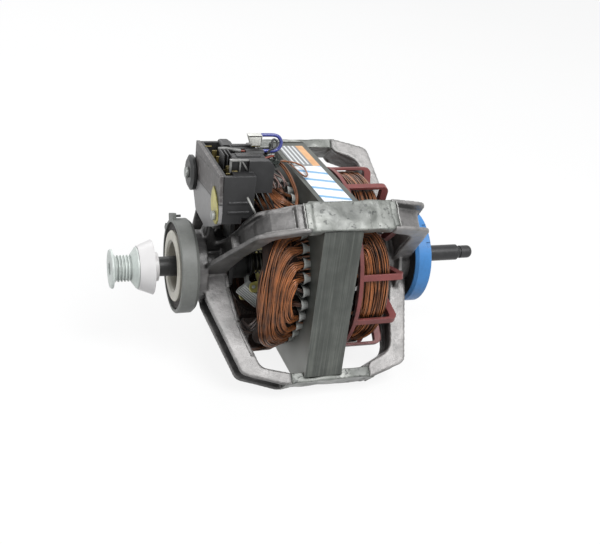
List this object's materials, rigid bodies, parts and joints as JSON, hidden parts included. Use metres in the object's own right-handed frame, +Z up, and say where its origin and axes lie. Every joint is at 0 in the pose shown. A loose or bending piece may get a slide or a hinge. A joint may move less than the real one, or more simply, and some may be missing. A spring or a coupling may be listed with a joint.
{
  "type": "dryer drive motor",
  "caption": "Open-frame electric dryer motor with cast end shields, clamp rings at both ends, a ribbed belt pulley, a blower shaft and a governor-driven start switch.",
  "frame": {"origin": "middle of the box's footprint, on the plane that the lower arms' corners stand on", "axes": "+X along the shaft towards the blower end, +Y away from the side with the earth strap, +Z up through the start switch"},
  "size_m": [0.2928, 0.1518, 0.1771],
  "materials": {
    "laminations": "dull varnished steel sheets, edges slightly bare",
    "liner_film": "pale grey folded film",
    "copper_wire": "enamelled copper",
    "frame_plastic": "red-brown moulding",
    "bond": "rough grey bonding compound",
    "cast_aluminium": "as cast, edges bright",
    "bronze": "sintered bronze",
    "felt": "oiled felt",
    "cream_plastic": "cream moulding",
    "black_plastic": "black moulding",
    "grey_rubber": "grey rubber",
    "black_rubber": "black rubber",
    "grey_ring": "grey steel ring",
    "blue_ring": "blue moulding",
    "black_steel": "black oxide",
    "rotor_steel": "bare steel sheets",
    "bright_aluminium": "bright cast",
    "zinc": "pale cast zinc",
    "clear_white_plastic": "milky translucent",
    "yellow_zinc": "yellow passivated steel",
    "bright_steel": "bright plated",
    "housing_plastic": "black phenolic",
    "plate_grey": "grey plate",
    "brass": "bare brass",
    "blue_wire": "blue insulation",
    "clear_plastic": "clear moulding",
    "label": "printed film",
    "twine": "dark twine"
  },
  "bodies": {
    "frame": {"stator_core": "laminations", "slot_liners": "liner_film", "main_windings": "copper_wire", "start_windings": "copper_wire", "near_strands": "copper_wire", "top_strands": "copper_wire", "far_strands": "copper_wire", "bottom_strands": "copper_wire", "coil_frame": "frame_plastic", "corner_bonds": "bond", "front_shield": "cast_aluminium", "rear_shield": "cast_aluminium", "front_bearing": "bronze", "rear_bearing": "bronze", "front_felt": "felt", "rear_felt": "felt", "front_cap": "cream_plastic", "rear_cap": "black_plastic", "front_rubber": "grey_rubber", "rear_rubber": "black_rubber", "front_mounting_ring": "grey_ring", "rear_mounting_ring": "blue_ring", "ring_pin": "black_steel", "switch_housing": "housing_plastic", "switch_plate": "plate_grey", "plate_screws": "bright_steel", "terminal_blocks": "housing_plastic", "terminals": "brass", "lever_pin": "bright_steel", "ground_strap": "yellow_zinc", "ground_screw": "bright_steel", "protector_clip": "black_plastic", "protector_screw": "bright_steel", "winding_leads": "copper_wire", "lead_tie": "twine", "blue_lead": "blue_wire", "lead_connector": "clear_plastic", "label_plate": "label"},
    "rotor": {"shaft": "black_steel", "rotor_core": "rotor_steel", "front_cage": "bright_aluminium", "rear_cage": "bright_aluminium", "front_thrust_washer": "black_plastic", "rear_thrust_washer": "black_plastic", "spacer_sleeve": "black_plastic", "drive_pulley": "zinc", "belt_guard": "clear_white_plastic", "governor_base": "yellow_zinc", "governor_pins": "bright_steel", "governor_spring": "bright_steel"},
    "collar": {"governor_collar": "black_plastic"},
    "upper_weight": {"weight_upper": "bright_steel"},
    "lower_weight": {"weight_lower": "bright_steel"},
    "lever": {"switch_lever": "black_plastic"}
  },
  "joints": [
    {"name": "rotor_spin", "type": "hinge", "parent": "frame", "child": "rotor", "pos_m": [-0.00205, 0, 0.07594], "axis": [1, 0, 0], "continuous": true},
    {"name": "collar_slide", "type": "slide", "parent": "rotor", "child": "collar", "axis": [1, 0, 0], "range_m": [0, 0.0031], "stiffness_N_per_m": 2000, "springref_m": -0.002, "deforming": ["governor_spring"]},
    {"name": "upper_weight_swing", "type": "hinge", "parent": "rotor", "child": "upper_weight", "pos_m": [-0.04605, 0.01414, 0.0928], "axis": [0, -0.766, 0.6428], "range_deg": [0, 16.02]},
    {"name": "lower_weight_swing", "type": "hinge", "parent": "rotor", "child": "lower_weight", "pos_m": [-0.04605, -0.01414, 0.05909], "axis": [0, 0.766, -0.6428], "range_deg": [0, 16.02]},
    {"name": "lever_tilt", "type": "hinge", "parent": "frame", "child": "lever", "pos_m": [-0.06105, 0, 0.12144], "axis": [0, -1, 0], "range_deg": [0, 3.45]}
  ],
  "couplings": [
    {"joint": "upper_weight_swing", "follows": "collar_slide", "rad_per_m": 89.645},
    {"joint": "lower_weight_swing", "follows": "collar_slide", "rad_per_m": 89.645},
    {"joint": "lever_tilt", "follows": "collar_slide", "rad_per_m": 18.868}
  ]
}
